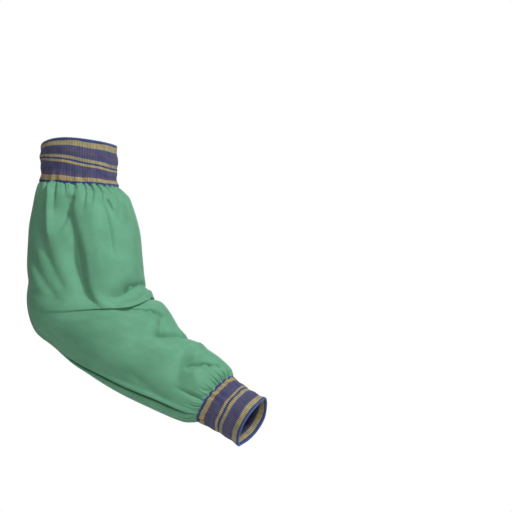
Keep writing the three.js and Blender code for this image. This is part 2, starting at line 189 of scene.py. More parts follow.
# Around the elbow's crease: how high the roll above it and the lip at its inner end stand, how far the cloth
# drops below it, how far the roll slides over, and how far down the crease hangs.
ELBOW_CREASE = table(
    "at roll lip drop slide hang",
    [
        (0, 0.0, 1.0, 1.3, 0.3, 0.0),
        (12, 0.0, 1.0, 1.3, 0.4, 0.03),
        (24, 0.0, 1.0, 1.2, 0.5, 0.18),
        (35, 0.0, 0.95, 1.1, 0.6, 0.44),
        (47, 0.1, 0.7, 1.0, 0.7, 0.69),
        (62, 0.2, 0.25, 0.95, 0.7, 0.81),
        (90, 0.15, 0.0, 0.7, 0.5, 0.5),
        (117, 0.05, 0.0, 0.4, 0.3, 0.3),
        (140, 0.0, 0.0, 0.15, 0.1, 0.1),
        (170, 0.0, 0.0, 0.0, 0.0, 0.0),
        (220, 0.0, 0.0, 0.0, 0.0, 0.0),
        (290, 0.45, 0.0, 0.45, 0.45, 0.0),
        (335, 0.6, 0.3, 0.8, 0.6, 0.0),
        (360, 0.0, 1.0, 1.3, 0.3, 0.0),
    ],
)
# The same forms along the sleeve, from above the crease to below it, in shares of ELBOW_SPREAD.
ELBOW_PROFILE = table(
    "at slide roll lip drop",
    [
        (-1.0, 0.0, 0.0, 0.0, 0.0),
        (-0.78, 0.1, 0.1, 0.04, 0.0),
        (-0.62, 0.2, 0.2, 0.96, 0.0),
        (-0.45, 0.4, 0.42, 1.0, 0.0),
        (-0.25, 0.65, 0.6, 0.82, 0.0),
        (-0.08, 1.05, 0.66, 0.55, 0.0),
        (-0.02, 1.16, 0.42, 0.3, -0.15),
        (0.06, 0.75, 0.04, 0.0, -0.75),
        (0.2, 0.25, 0.0, 0.0, -0.72),
        (0.6, 0.0, 0.0, 0.0, -0.25),
        (1.0, 0.0, 0.0, 0.0, 0.0),
    ],
)
# Where the fold under the forearm runs.
UNDERFOLD = table(
    "at around strength",
    [
        (0.56, 175, 0.0),
        (0.6, 168, 0.3),
        (0.65, 160, 0.9),
        (0.71, 152, 1.0),
        (0.85, 142, 1.0),
        (0.92, 138, 0.9),
        (1.0, 136, 0.0),
    ],
)

# Folds as lines over the cloth: at and around where each starts and ends, then its width on the two sides of
# the line and its depth, in millimetres. around is 0 at the elbow's inner side and 90 at the front, and the
# first width is the one towards a larger around. A negative depth is a ridge.
UPPER_ARM_FOLDS = [
    (0.15, 99, 0.29, 90, 25.0, 7.0, 9.0),
    (0.3, 89, 0.405, 85, 24.0, 4.4, 10.5),
    (0.1, 78, 0.34, 68, 11.0, 24.0, -4.0),
    (0.19, 140, 0.36, 112, 12.0, 10.0, 6.0),
    (0.02, 128, 0.19, 123, 5.0, 8.0, -4.6),
    (0.24, 158, 0.38, 124, 8.0, 12.0, 5.0),
    (0.35, 168, 0.41, 126, 9.0, 14.0, 3.6),
    (0.12, 60, 0.245, 56, 8.0, 4.0, 4.6),
    (0.464, 56, 0.436, 40, 14.0, 3.2, 11.0),
    (0.43, 38, 0.406, 25, 12.0, 3.6, 7.8),
    (0.438, 51, 0.416, 42, 11.0, 9.0, 6.4),
    (0.406, 25, 0.388, 4, 5.0, 2.6, 4.4),
    (0.39, 30, 0.374, 4, 3.0, 3.0, 2.6),
]
FOREARM_FOLDS = [
    (0.525, 62, 0.565, 36, 7.0, 4.6, 5.4),
    (0.545, 48, 0.52, 20, 7.0, 7.0, -1.2),
    (0.6, 34, 0.67, 50, 5.5, 8.0, 6.2),
    (0.62, 66, 0.68, 84, 9.0, 9.0, 1.6),
    (0.68, 50, 0.73, -14, 4.0, 10.0, 9.5),
    (0.76, 60, 0.78, -6, 10.0, 10.0, -3.0),
    (0.61, 22, 0.69, 26, 7.0, 7.0, 2.4),
    (0.79, 22, 0.85, 50, 9.0, 8.0, -3.0),
    (0.85, 50, 0.92, 76, 9.0, 8.0, -2.8),
    (0.79, 50, 0.86, 82, 17.0, 9.0, 4.6),
    (0.88, 66, 0.9, 50, 4.2, 4.2, 5.6),
    (0.9, 50, 0.93, 34, 3.8, 3.8, 4.8),
    (0.8, 120, 0.88, 128, 9.0, 9.0, 1.8),
]
BACK_FOLDS = [
    (0.1, 232, 0.36, 262, 15.0, 7.0, 7.0),
    (0.09, 308, 0.33, 286, 7.0, 13.0, 6.4),
    (0.4, 345, 0.47, 262, 11.0, 4.6, 8.0),
    (0.42, 335, 0.5, 296, 9.0, 4.6, 5.6),
    (0.5, 345, 0.56, 284, 5.0, 9.0, 6.4),
    (0.24, 214, 0.4, 236, 8.0, 13.0, 4.6),
    (0.38, 222, 0.43, 272, 8.0, 8.0, 3.8),
    (0.6, 230, 0.88, 248, 12.0, 7.0, 5.4),
    (0.66, 334, 0.86, 300, 7.0, 11.0, 5.0),
]
# The gathers' valleys that the photograph shows, and how many there are on the side that it doesn't.
UPPER_GATHERS = [
    (0, 136, 0.085, 128, 4.4, 3.1, 4.2),
    (0, 120, 0.16, 119, 4.4, 3.1, 4.8),
    (0, 105, 0.06, 105, 4.2, 2.9, 4.5),
    (0, 91, 0.08, 96, 6.8, 2.9, 6.0),
    (0.08, 96, 0.195, 112, 8.2, 3.4, 5.8),
    (0, 77, 0.12, 84, 4.2, 1.8, 5.8),
    (0, 67, 0.12, 77, 5.0, 2.1, 6.4),
    (0, 56, 0.12, 66, 4.3, 1.8, 5.4),
    (0, 43, 0.06, 46, 4.7, 1.9, 7.4),
    (0.085, 54, 0.14, 48, 4.3, 1.8, 4.8),
    (0.14, 46, 0.09, 37, 4.7, 1.9, 3.0),
    (0, 32, 0.09, 35, 4.3, 1.8, 6.1),
    (0, 19, 0.14, 24, 5.0, 2.1, 6.1),
    (0, 6, 0.09, 9, 5.0, 2.1, 5.8),
    (0, 151, 0.07, 147, 4.2, 2.9, 4.2),
]
WRIST_GATHERS = [
    (1.0, 20, 0.95, 25, 2.4, 2.4, 3.2),
    (1.0, 33, 0.935, 40, 2.4, 2.4, 3.2),
    (1.0, 45, 0.93, 48, 2.6, 2.6, 3.4),
    (1.0, 56, 0.935, 58, 2.6, 2.6, 3.2),
    (1.0, 66, 0.95, 64, 2.4, 2.4, 3.0),
    (1.0, 77, 0.965, 84, 2.2, 2.2, 3.4),
    (1.0, 90, 0.968, 95, 2.2, 2.2, 3.0),
    (1.0, 104, 0.965, 99, 3.0, 3.0, 4.4),
    (0.97, 99, 0.9, 103, 3.4, 3.4, 4.6),
    (1.0, 118, 0.955, 116, 2.8, 2.8, 3.2),
    (1.0, 130, 0.965, 124, 2.8, 2.8, 3.8),
    (1.0, 152, 0.95, 156, 2.8, 2.8, 3.2),
    (1.0, 6, 0.94, 8, 2.6, 2.6, 3.2),
]
UNSEEN_UPPER_GATHERS = 13
UNSEEN_WRIST_GATHERS = 13
UNSEEN_FROM, UNSEEN_TO = 164, 356
UNSEEN_SHIFT = 3.5
UNSEEN_TURN = 7
UNSEEN_LENGTHS = (0.045, 0.13)
UNSEEN_WIDTHS = (3.2, 4.6)
UNSEEN_DEPTHS = (2.8, 4.2)
PUCKER_PITCH = 5.2
PUCKER_REACH = 12.0
PUCKER_HEIGHT = 0.8
PUCKER_WANDER = 1.5
PUCKER_WANDERS = 7
# A seam's way around, as a share of the cloth's.
SEAM_SHARE = 0.7
# The long seam down the outer side of the upper arm, as a fold.
LONG_SEAM = (0.0, 178, 0.5, 182, 1.3, 1.3, 0.7)
# How steep a fold's walls are, and how far it fades past its ends, in its own widths.
FOLD_SHARPNESS = 1.6
FOLD_FADE = 1.8
# How much a gather's valley widens, how far it fades ahead of its start, in millimetres, how steep its walls
# are, the share of its length over which it stays whole, and how much further than its length it runs out.
GATHER_FAN = 0.45
GATHER_RUN_IN = 5.0
GATHER_SHARPNESS = 1.35
GATHER_FULL = 0.1
GATHER_TAIL = 0.3


def curve(data, name, at, first=None, last=None):
    """A smooth cubic through one of a table's columns, for an array of places."""
    x, y = data["at"], data[name]
    slope = np.empty_like(y)
    slope[1:-1] = (y[2:] - y[:-2]) / (x[2:] - x[:-2])
    slope[0] = (y[1] - y[0]) / (x[1] - x[0]) if first is None else first
    slope[-1] = (y[-1] - y[-2]) / (x[-1] - x[-2]) if last is None else last
    at = np.clip(np.asarray(at, float), x[0], x[-1])
    i = np.clip(np.searchsorted(x, at) - 1, 0, len(x) - 2)
    span = x[i + 1] - x[i]
    t = (at - x[i]) / span
    start = y[i] * (1 + 2 * t) * (1 - t) ** 2 + slope[i] * span * t * (1 - t) ** 2
    end = y[i + 1] * t * t * (3 - 2 * t) - slope[i + 1] * span * t * t * (1 - t)
    return start + end


def smoothstep(value, low, high):
    """From 0 at low to 1 at high, with soft ends."""
    t = np.clip((value - low) / (high - low), 0, 1)
    return t * t * (3 - 2 * t)


def unit(vectors):
    return vectors / np.linalg.norm(vectors, axis=-1, keepdims=True)


upper_out = np.array([0.0, 0.0, 1.0])
below, forward = math.radians(WRIST_BELOW), math.radians(WRIST_FORWARD)
wrist_out = np.array(
    [math.cos(below) * math.cos(forward), -math.sin(forward), -math.sin(below) * math.cos(forward)]
)
upper_seam = -upper_out * BAND_WIDTH / 2
wrist_seam = upper_seam + np.array([SLEEVE_REACH, -SLEEVE_FORWARD, -SLEEVE_DROP])
# Each band's seat and size, how far its rim's peaks are turned, the phase of its ripples and how far its
# stripes lean.
UPPER_BAND = {
    "seam": upper_seam,
    "out": upper_out,
    "along_sleeve": -1,
    "across": UPPER_ACROSS,
    "deep": UPPER_DEEP,
    "peak": 20.0,
    "phase": 0.7,
    "stripe_lean": 0.13,
    "rings": UPPER_RINGS,
}
WRIST_BAND = {
    "seam": wrist_seam,
    "out": wrist_out,
    "along_sleeve": 1,
    "across": WRIST_ACROSS,
    "deep": WRIST_DEEP,
    "peak": 0.0,
    "phase": 2.9,
    "stripe_lean": 0.03,
    "rings": WRIST_RINGS,
}


def section_frame(axis, lean):
    """The side and front directions of leaning sections on a tube that runs along axis."""
    angle = np.radians(WRIST_TURN * lean)
    side = np.stack([np.cos(angle), np.zeros_like(angle), np.sin(angle)], axis=-1)
    front = unit(np.cross(np.broadcast_to(axis, side.shape), side))
    return side, front


def oval(around, across, deep, pinch):
    """Points of an oval, and the way out of it, each as (sideways, frontal)."""
    angle = np.radians(around)
    cosine, sine = np.cos(angle), np.sin(angle)
    bulge = np.sign(sine) * np.abs(sine) ** pinch
    place = np.stack([across / 2 * cosine, deep / 2 * bulge], axis=-1)
    outward = unit(np.stack([cosine / across, bulge / deep], axis=-1))
    return place, outward


def band_points(band, at, around):
    """Points on a band's outer face. at runs from 0 at the seam to 1 at the rim; both are arrays."""
    at, around = np.broadcast_arrays(at, around)
    rings = {name: curve(band["rings"], name, at) for name in band["rings"]}
    side, front = section_frame(band["out"] * band["along_sleeve"], rings["lean"])
    place, _ = oval(around, band["across"] * rings["across"], band["deep"] * rings["deep"], rings["pinch"])
    peak = np.radians(around - band["peak"] * np.sin(np.radians(around)))
    bow = rings["bow"] * np.abs(np.sin(peak)) ** BOW_FLATNESS
    out = BAND_WIDTH * (rings["rise"] + bow)
    return band["seam"] + out[..., None] * band["out"] + place[..., :1] * side + place[..., 1:] * front


centres = {
    "at": SECTIONS["at"],
    "x": upper_seam[0] + SECTIONS["reach"] * SLEEVE_REACH,
    "y": upper_seam[1] - SECTIONS["forward"] * SLEEVE_FORWARD,
    "z": upper_seam[2] - SECTIONS["drop"] * SLEEVE_DROP,
}
steps = np.diff([centres["x"], centres["y"], centres["z"]], axis=1)
cloth_length = float(np.linalg.norm(steps, axis=0).sum())


def cloth_centre(at):
    """The middle of the sleeve at places from 0 at the upper seam to 1 at the wrist seam."""
    return np.stack(
        [
            curve(centres, name, at, -upper_out[k] * cloth_length, wrist_out[k] * cloth_length)
            for k, name in enumerate("xyz")
        ],
        axis=-1,
    )


def turn_from(start, around):
    """The turn from one angle to another, the shorter way."""
    return (around - start + 540) % 360 - 180


def fold_depth(fold, at, around):
    """How far one fold lowers the cloth, in millimetres."""
    from_at, from_around, to_at, to_around, outer_width, inner_width, depth = fold
    along = (at - from_at) * cloth_length
    sideways = turn_from(from_around, around) * CLOTH_PER_DEGREE
    run_along = (to_at - from_at) * cloth_length
    run_sideways = (to_around - from_around) * CLOTH_PER_DEGREE
    run = math.hypot(run_along, run_sideways)
    share = (along * run_along + sideways * run_sideways) / run**2
    off = (along * run_sideways - sideways * run_along) / run
    past = np.maximum(0, np.maximum(-share, share - 1)) * run
    width = np.where(off * run_along < 0, outer_width, inner_width)
    fade = FOLD_FADE * (outer_width + inner_width) / 2
    return depth * np.exp(-(np.abs(off / width) ** FOLD_SHARPNESS) - (past / fade) ** 2)


def gather_depth(gather, at, around):
    """How far one gather's valley lowers the cloth: it widens and flattens from its start on."""
    from_at, from_around, to_at, to_around, outer_width, inner_width, depth = gather
    along = (at - from_at) / (to_at - from_at)
    share = np.clip(along, 0, 1)
    middle = from_around + (to_around - from_around) * share
    off = turn_from(middle, around) * CLOTH_PER_DEGREE
    spread = 1 + GATHER_FAN * share
    width = np.where(off > 0, outer_width, inner_width) * spread
    ahead = np.maximum(0, -along) * abs(to_at - from_at) * cloth_length / GATHER_RUN_IN
    left = depth * (1 - smoothstep(along, GATHER_FULL, 1 + GATHER_TAIL))
    return left * np.exp(-(np.abs(off / width) ** GATHER_SHARPNESS) - ahead**2)


def underfold_rise(at, around):
    """How far the fold under the forearm lifts the cloth, in millimetres."""
    turn = around - curve(UNDERFOLD, "around", at)
    offset = turn * CLOTH_PER_DEGREE / UNDERFOLD_SPREAD
    profile = sum(
        height * np.exp(-(((offset - place) / width) ** 2)) for place, width, height in UNDERFOLD_PARTS
    )
    return UNDERFOLD_DEPTH * curve(UNDERFOLD, "strength", at) * profile


def unseen_gathers(count, seam_at, inward, seed):
    """Valleys of uneven length along a seam on the side that the photograph doesn't show."""
    rng = np.random.default_rng(seed)
    places = np.linspace(UNSEEN_FROM, UNSEEN_TO, count) + rng.uniform(-UNSEEN_SHIFT, UNSEEN_SHIFT, count)
    lengths = rng.uniform(*UNSEEN_LENGTHS, count) * inward
    turns = rng.uniform(-UNSEEN_TURN, UNSEEN_TURN, count)
    widths = rng.uniform(*UNSEEN_WIDTHS, count)
    return [
        (seam_at, place, seam_at + length, place + turn, width, width, rng.uniform(*UNSEEN_DEPTHS))
        for place, length, turn, width in zip(places, lengths, turns, widths)
    ]


GATHERS = [
    *UPPER_GATHERS,
    *unseen_gathers(UNSEEN_UPPER_GATHERS, seam_at=0.0, inward=1.0, seed=4),
    *WRIST_GATHERS,
    *unseen_gathers(UNSEEN_WRIST_GATHERS, seam_at=1.0, inward=-0.7, seed=9),
]
FOLDS = [*UPPER_ARM_FOLDS, *FOREARM_FOLDS, *BACK_FOLDS, LONG_SEAM]


def pucker_height(from_end, around):
    """The tiny puckers that the stitches make beside a seam."""
    turns = np.radians(around) * round(360 * CLOTH_PER_DEGREE * SEAM_SHARE / PUCKER_PITCH)
    wave = np.sin(turns + PUCKER_WANDER * np.sin(np.radians(around) * PUCKER_WANDERS))
    return PUCKER_HEIGHT * wave * np.exp(-((from_end / PUCKER_REACH) ** 2))


def cloth_points(row, around):
    """Points on the cloth's outer face, for rows from 0 at the upper seam to 1 at the wrist seam."""
    row, around = np.broadcast_arrays(np.asarray(row, float), np.asarray(around, float))
    near_elbow = np.exp(-(((row - ELBOW_AT) * cloth_length / ELBOW_HANG_REACH) ** 2))
    at = row + ELBOW_HANG / cloth_length * near_elbow * curve(ELBOW_CREASE, "hang", around)
    reach = TANGENT_LEAST + TANGENT_REACH * smoothstep(np.minimum(at, 1 - at), 0.0, TANGENT_RUN_IN)
    axis = unit(cloth_centre(np.minimum(at + reach, 1)) - cloth_centre(np.maximum(at - reach, 0)))
    side, front = section_frame(axis, curve(SECTIONS, "lean", at))
    across = CLOTH_ACROSS * curve(SECTIONS, "across", at)
    deep = CLOTH_DEEP * curve(SECTIONS, "deep", at)
    pinch = 1 + UPPER_PINCH * np.exp(-at * PINCH_FADE) + WRIST_PINCH * np.exp(-(1 - at) * PINCH_FADE)
    place, outward = oval(around, across, deep, pinch)
    from_end = np.minimum(at, 1 - at) * cloth_length
    settled = smoothstep(from_end, *FOLDS_BEGIN)
    gathered = smoothstep(from_end, *GATHERS_BEGIN)
    offset = (row - ELBOW_AT) * cloth_length / ELBOW_SPREAD
    elbow = {
        part: curve(ELBOW_CREASE, part, around) * curve(ELBOW_PROFILE, part, offset, 0, 0)
        for part in ("roll", "lip", "drop", "slide")
    }
    rise = ELBOW_RISE * (elbow["roll"] + elbow["lip"] + elbow["drop"])
    slide = ELBOW_OVERLAP * elbow["slide"]
    folds = sum(fold_depth(fold, at, around) for fold in FOLDS)
    gathers = sum(gather_depth(gather, at, around) for gather in GATHERS)
    swell = GATHER_SWELL * np.exp(-((from_end / GATHER_REACH) ** 2))
    height = settled * (rise + underfold_rise(at, around) - folds)
    height = height + gathered * (swell - gathers + pucker_height(from_end, around))
    points = cloth_centre(at) + slide[..., None] * axis
    points = points + (place[..., 0] + outward[..., 0] * height)[..., None] * side
    return points + (place[..., 1] + outward[..., 1] * height)[..., None] * front


def grid_normals(points):
    """The way out of a tube's surface at each of its points, by rows along it and columns around it."""
    along = np.gradient(points, axis=0)
    around = np.roll(points, -1, axis=1) - np.roll(points, 1, axis=1)
    return unit(np.cross(around, along))


def tube_object(name, rows, uv_rows, material, uv_around=1.0, turns=None):
    """A closed surface from rings of points, each joined to the next and the last to the first.

    uv_rows gives each ring's or point's place along the tube; around it, it runs from 0 to uv_around. turns
    are the columns' places around the tube, as shares of a turn, where they aren't even.
    """
    rings, columns = len(rows), len(rows[0])
    vertices = np.concatenate(rows) * MM
    i, j = np.meshgrid(np.arange(rings), np.arange(columns), indexing="ij")
    here, beyond = i * columns, (i + 1) % rings * columns
    after = (j + 1) % columns
    faces = np.stack([here + j, here + after, beyond + after, beyond + j], axis=-1).reshape(-1, 4)
    mesh = bpy.data.meshes.new(name)
    mesh.from_pydata(vertices.tolist(), [], faces.tolist())
    uv_rows = np.asarray(uv_rows, float)
    places = np.broadcast_to(uv_rows if uv_rows.ndim == 2 else uv_rows[:, None], (rings, columns))
    turns = np.arange(columns) / columns if turns is None else turns
    turns = np.append(turns, turns[0] + 1)
    u = turns[np.stack([j, j + 1, j + 1, j], axis=-1)] * uv_around
    v = places.ravel()[np.stack([here + j, here + after, beyond + after, beyond + j], axis=-1)]
    layer = mesh.uv_layers.new(name="UVMap")
    layer.data.foreach_set("uv", np.stack([u, v], axis=-1).astype(np.float32).ravel())
    mesh.polygons.foreach_set("use_smooth", np.ones(len(mesh.polygons), bool))
    mesh.validate()
    mesh.materials.append(material)
    made = bpy.data.objects.new(name, mesh)
    bpy.context.collection.objects.link(made)
    return made


def node(tree, kind, inputs=(), **settings):
    """A shader node with its settings and input values."""
    made = tree.nodes.new(kind)
    for name, value in settings.items():
        setattr(made, name, value)
    for name, value in dict(inputs).items():
        made.inputs[name].default_value = value
    return made


def new_material(name, roughness, sheen, sheen_tint):
    """A dull, slightly fuzzy material, with its node tree and its shader."""
    made = bpy.data.materials.new(name)
    made.use_nodes = True
    shader = made.node_tree.nodes["Principled BSDF"]
    shader.inputs["Roughness"].default_value = roughness
    shader.inputs["Sheen Weight"].default_value = sheen
    shader.inputs["Sheen Roughness"].default_value = 0.5
    shader.inputs["Sheen Tint"].default_value = (*sheen_tint, 1)
    shader.inputs["Specular IOR Level"].default_value = 0.2
    return made, made.node_tree, shader


def ramp(tree, stops, interpolation="LINEAR"):
    """A colour ramp from (position, colour) stops."""
    made = tree.nodes.new("ShaderNodeValToRGB")
    made.color_ramp.interpolation = interpolation
    elements = made.color_ramp.elements
    while len(elements) < len(stops):
        elements.new(0.5)
    for element, (position, colour) in zip(elements, stops):
        element.position = position
        element.color = (*colour, 1)
    return made


GREEN = (0.108, 0.3, 0.188)
GREEN_DARK = (0.09, 0.26, 0.158)
GREEN_LIGHT = (0.13, 0.338, 0.216)
NAVY = (0.066, 0.068, 0.145)
TAN = (0.33, 0.283, 0.148)
EDGE_BLUE = (0.035, 0.055, 0.15)
FIELD_BLUE = (0.062, 0.078, 0.18)
FIELD_PLUM = (0.083, 0.066, 0.135)
THREAD_LIGHT = (0.075, 0.12, 0.33)
THREAD_DARK = (0.03, 0.05, 0.16)
TWILL_SLANT = 62
SLUB_SHARE = 0.5


def cloth_material():
    """Cotton twill: fine diagonal ribs with painted shade in their valleys, a slight mottle and a soft fuzz.
    Its UVs are in metres.
    """
    made, tree, shader = new_material("green_twill", 0.82, 0.25, (0.6, 0.9, 0.75))
    links = tree.links
    place = node(tree, "ShaderNodeUVMap", uv_map="UVMap")
    weave_place = node(tree, "ShaderNodeMapping", {"Rotation": (0, 0, math.radians(TWILL_SLANT))})
    links.new(place.outputs["UV"], weave_place.inputs["Vector"])
    twill = node(
        tree,
        "ShaderNodeTexWave",
        {"Scale": 380.0, "Distortion": 0.6, "Detail": 2.0, "Detail Scale": 3.0},
        wave_type="BANDS",
        bands_direction="X",
        wave_profile="SIN",
    )
    links.new(weave_place.outputs["Vector"], twill.inputs["Vector"])
    mottle = node(tree, "ShaderNodeTexNoise", {"Scale": 26.0, "Detail": 6.0, "Roughness": 0.62})
    links.new(place.outputs["UV"], mottle.inputs["Vector"])
    slub = node(tree, "ShaderNodeTexNoise", {"Scale": 900.0, "Detail": 2.0, "Roughness": 0.6})
    links.new(place.outputs["UV"], slub.inputs["Vector"])
    colour = ramp(tree, [(0.3, GREEN_DARK), (0.5, GREEN), (0.72, GREEN_LIGHT)])
    links.new(mottle.outputs["Fac"], colour.inputs["Fac"])
    # The twill's valleys are darkened a little in the base colour: painted shade, beside the real weave's bump.
    twill_painted_shade = node(tree, "ShaderNodeMix", {"Factor": 0.16}, data_type="RGBA", blend_type="MULTIPLY")
    links.new(colour.outputs["Color"], twill_painted_shade.inputs["A"])
    links.new(twill.outputs["Color"], twill_painted_shade.inputs["B"])
    links.new(twill_painted_shade.outputs["Result"], shader.inputs["Base Color"])
    height = node(tree, "ShaderNodeMath", {1: SLUB_SHARE}, operation="MULTIPLY_ADD")
    links.new(slub.outputs["Fac"], height.inputs[0])
    links.new(twill.outputs["Fac"], height.inputs[2])
    bump = node(tree, "ShaderNodeBump", {"Strength": 0.3, "Distance": 0.0003})
    links.new(height.outputs["Value"], bump.inputs["Height"])
    links.new(bump.outputs["Normal"], shader.inputs["Normal"])
    return made


# The woven stripes: the share of the band's width, from the rim, where each starts, and its colour.
STRIPES = [
    (0.0, EDGE_BLUE),
    (0.05, TAN),
    (0.165, FIELD_BLUE),
    (0.2, NAVY),
    (0.27, FIELD_PLUM),
    (0.33, NAVY),
    (0.39, FIELD_BLUE),
    (0.432, TAN),
    (0.504, EDGE_BLUE),
    (0.552, TAN),
    (0.608, FIELD_PLUM),
    (0.66, FIELD_BLUE),
    (0.72, NAVY),
    (0.79, FIELD_PLUM),
    (0.848, TAN),
    (0.945, EDGE_BLUE),
]
# How far the stripes' edges follow the yarn, and the elastic's fine streaks.
YARN_WANDER = 0.016
STREAKS_PER_RIB = 0.33
TINTS = [(0.35, (0.78, 0.8, 1.0)), (0.5, (1.0, 1.0, 1.0)), (0.68, (1.35, 1.15, 1.05))]


def band_material(ribs):
    """Ribbed elastic: stripes along the band, crossed by fine ribs with painted shade in their grooves. u runs
    once around and v once across.
    """
    made, tree, shader = new_material("striped_elastic", 0.88, 0.2, (0.75, 0.75, 0.9))
    links = tree.links
    place = node(tree, "ShaderNodeUVMap", uv_map="UVMap")
    parts = node(tree, "ShaderNodeSeparateXYZ")
    links.new(place.outputs["UV"], parts.inputs["Vector"])
    stretched = node(tree, "ShaderNodeMapping", {"Scale": (ribs, 14.0, 1.0)})
    links.new(place.outputs["UV"], stretched.inputs["Vector"])
    yarn = node(tree, "ShaderNodeTexNoise", {"Scale": 1.0, "Detail": 4.0, "Roughness": 0.7})
    links.new(stretched.outputs["Vector"], yarn.inputs["Vector"])
    wander = node(tree, "ShaderNodeMath", {1: YARN_WANDER}, operation="MULTIPLY_ADD")
    centred = node(tree, "ShaderNodeMath", {1: 0.5}, operation="SUBTRACT")
    links.new(yarn.outputs["Fac"], centred.inputs[0])
    links.new(centred.outputs["Value"], wander.inputs[0])
    links.new(parts.outputs["Y"], wander.inputs[2])
    stripes = ramp(tree, STRIPES, "CONSTANT")
    links.new(wander.outputs["Value"], stripes.inputs["Fac"])
    # The base colour is darkened in the ribs' grooves and slightly brightened on their crests: painted shade
    # and a faint painted highlight on top of the real ribs.
    wave_place = node(tree, "ShaderNodeMath", {1: ribs * 2 * math.pi}, operation="MULTIPLY")
    links.new(parts.outputs["X"], wave_place.inputs[0])
    wave = node(tree, "ShaderNodeMath", operation="COSINE")
    links.new(wave_place.outputs["Value"], wave.inputs[0])
    rib_painted_shade_range = {"From Min": -1.0, "From Max": 0.4, "To Min": 0.42, "To Max": 1.05}
    rib_painted_shade = node(tree, "ShaderNodeMapRange", rib_painted_shade_range)
    links.new(wave.outputs["Value"], rib_painted_shade.inputs["Value"])
    streak_place = node(tree, "ShaderNodeMapping", {"Scale": (ribs * STREAKS_PER_RIB, 5.0, 1.0)})
    links.new(place.outputs["UV"], streak_place.inputs["Vector"])
    streaks = node(tree, "ShaderNodeTexNoise", {"Scale": 1.0, "Detail": 3.0, "Roughness": 0.6})
    links.new(streak_place.outputs["Vector"], streaks.inputs["Vector"])
    tint = ramp(tree, TINTS)
    links.new(streaks.outputs["Fac"], tint.inputs["Fac"])
    tinted = node(tree, "ShaderNodeMix", {"Factor": 1.0}, data_type="RGBA", blend_type="MULTIPLY")
    links.new(stripes.outputs["Color"], tinted.inputs["A"])
    links.new(tint.outputs["Color"], tinted.inputs["B"])
    # The stripes' colour times the ribs' painted shade.
    with_rib_painted_shade = node(tree, "ShaderNodeMix", {"Factor": 1.0}, data_type="RGBA", blend_type="MULTIPLY")
    links.new(tinted.outputs["Result"], with_rib_painted_shade.inputs["A"])
    links.new(rib_painted_shade.outputs["Result"], with_rib_painted_shade.inputs["B"])
    links.new(with_rib_painted_shade.outputs["Result"], shader.inputs["Base Color"])
    waves = {"Scale": 60.0, "Distortion": 1.0}
    fine = node(tree, "ShaderNodeTexWave", waves, wave_type="BANDS", bands_direction="Y")
    links.new(place.outputs["UV"], fine.inputs["Vector"])
    bump = node(tree, "ShaderNodeBump", {"Strength": 0.3, "Distance": 0.0003})
    links.new(fine.outputs["Fac"], bump.inputs["Height"])
    links.new(bump.outputs["Normal"], shader.inputs["Normal"])
    return made


def thread_material():
    """The blue thread of the corded edges, with fine fibres."""
    made, tree, shader = new_material("edge_thread", 0.75, 0.3, (0.8, 0.85, 1.0))
    place = node(tree, "ShaderNodeTexCoord")
    fibre = node(tree, "ShaderNodeTexNoise", {"Scale": 700.0, "Detail": 3.0, "Roughness": 0.6})
    tree.links.new(place.outputs["Object"], fibre.inputs["Vector"])
    colour = ramp(tree, [(0.35, THREAD_DARK), (0.65, THREAD_LIGHT)])
    tree.links.new(fibre.outputs["Fac"], colour.inputs["Fac"])
    tree.links.new(colour.outputs["Color"], shader.inputs["Base Color"])
    bump = node(tree, "ShaderNodeBump", {"Strength": 0.4, "Distance": 0.0002})
    tree.links.new(fibre.outputs["Fac"], bump.inputs["Height"])
    tree.links.new(bump.outputs["Normal"], shader.inputs["Normal"])
    return made


def perimeter(points):
    """The way around a closed line of points."""
    return float(np.linalg.norm(np.roll(points, -1, axis=0) - points, axis=1).sum())


def make_cloth():
    """The green tube: its outer face, the two tucked ends and the inner face, in one closed surface."""
    turns = np.arange(CLOTH_COLUMNS) / CLOTH_COLUMNS
    turns = turns - FRONT_CROWDING * np.sin(2 * math.pi * (turns - FRONT_TURN))
    around = turns * 360
    even = np.linspace(CLOTH_END, 1 - CLOTH_END, CLOTH_ROWS)
    from_elbow = even - ELBOW_AT
    crowding = ELBOW_CROWDING * np.sin(from_elbow * math.pi / ELBOW_CROWDED)
    at = even - crowding * (np.abs(from_elbow) < ELBOW_CROWDED)
    outer = cloth_points(at[:, None], around[None, :])
    tucks = []
    for band, steps in ((UPPER_BAND, (1.0, 0.5, 0.0)), (WRIST_BAND, (0.0, 0.5, 1.0))):
        face = np.array([band_points(band, step * SEAM_LAP / BAND_WIDTH, around) for step in steps])
        tucks.append(face - SEAM_TUCK * grid_normals(face))
    outer = np.concatenate([tucks[0], outer, tucks[1]])
    normals = grid_normals(outer)
    kept = [*range(0, len(outer) - 1, INNER_STEP), len(outer) - 1]
    inner = (outer - CLOTH_WALL * normals)[kept][::-1]
    lengths = np.linalg.norm(np.diff(outer, axis=0), axis=2).mean(axis=1)
    v = np.concatenate([[0], np.cumsum(lengths)]) * MM
    wide = perimeter(outer[len(outer) // 2]) * MM
    made = tube_object("cloth", [*outer, *inner], [*v, *v[kept][::-1]], cloth_material(), wide, turns)
    return made, (wide, float(v[-1]))


def rib_relief(around, ribs):
    """The ribs' height around a band, from 0 in the grooves to 1 on the crests."""
    return np.sqrt(np.abs(np.cos(np.radians(around) * ribs / 2)))


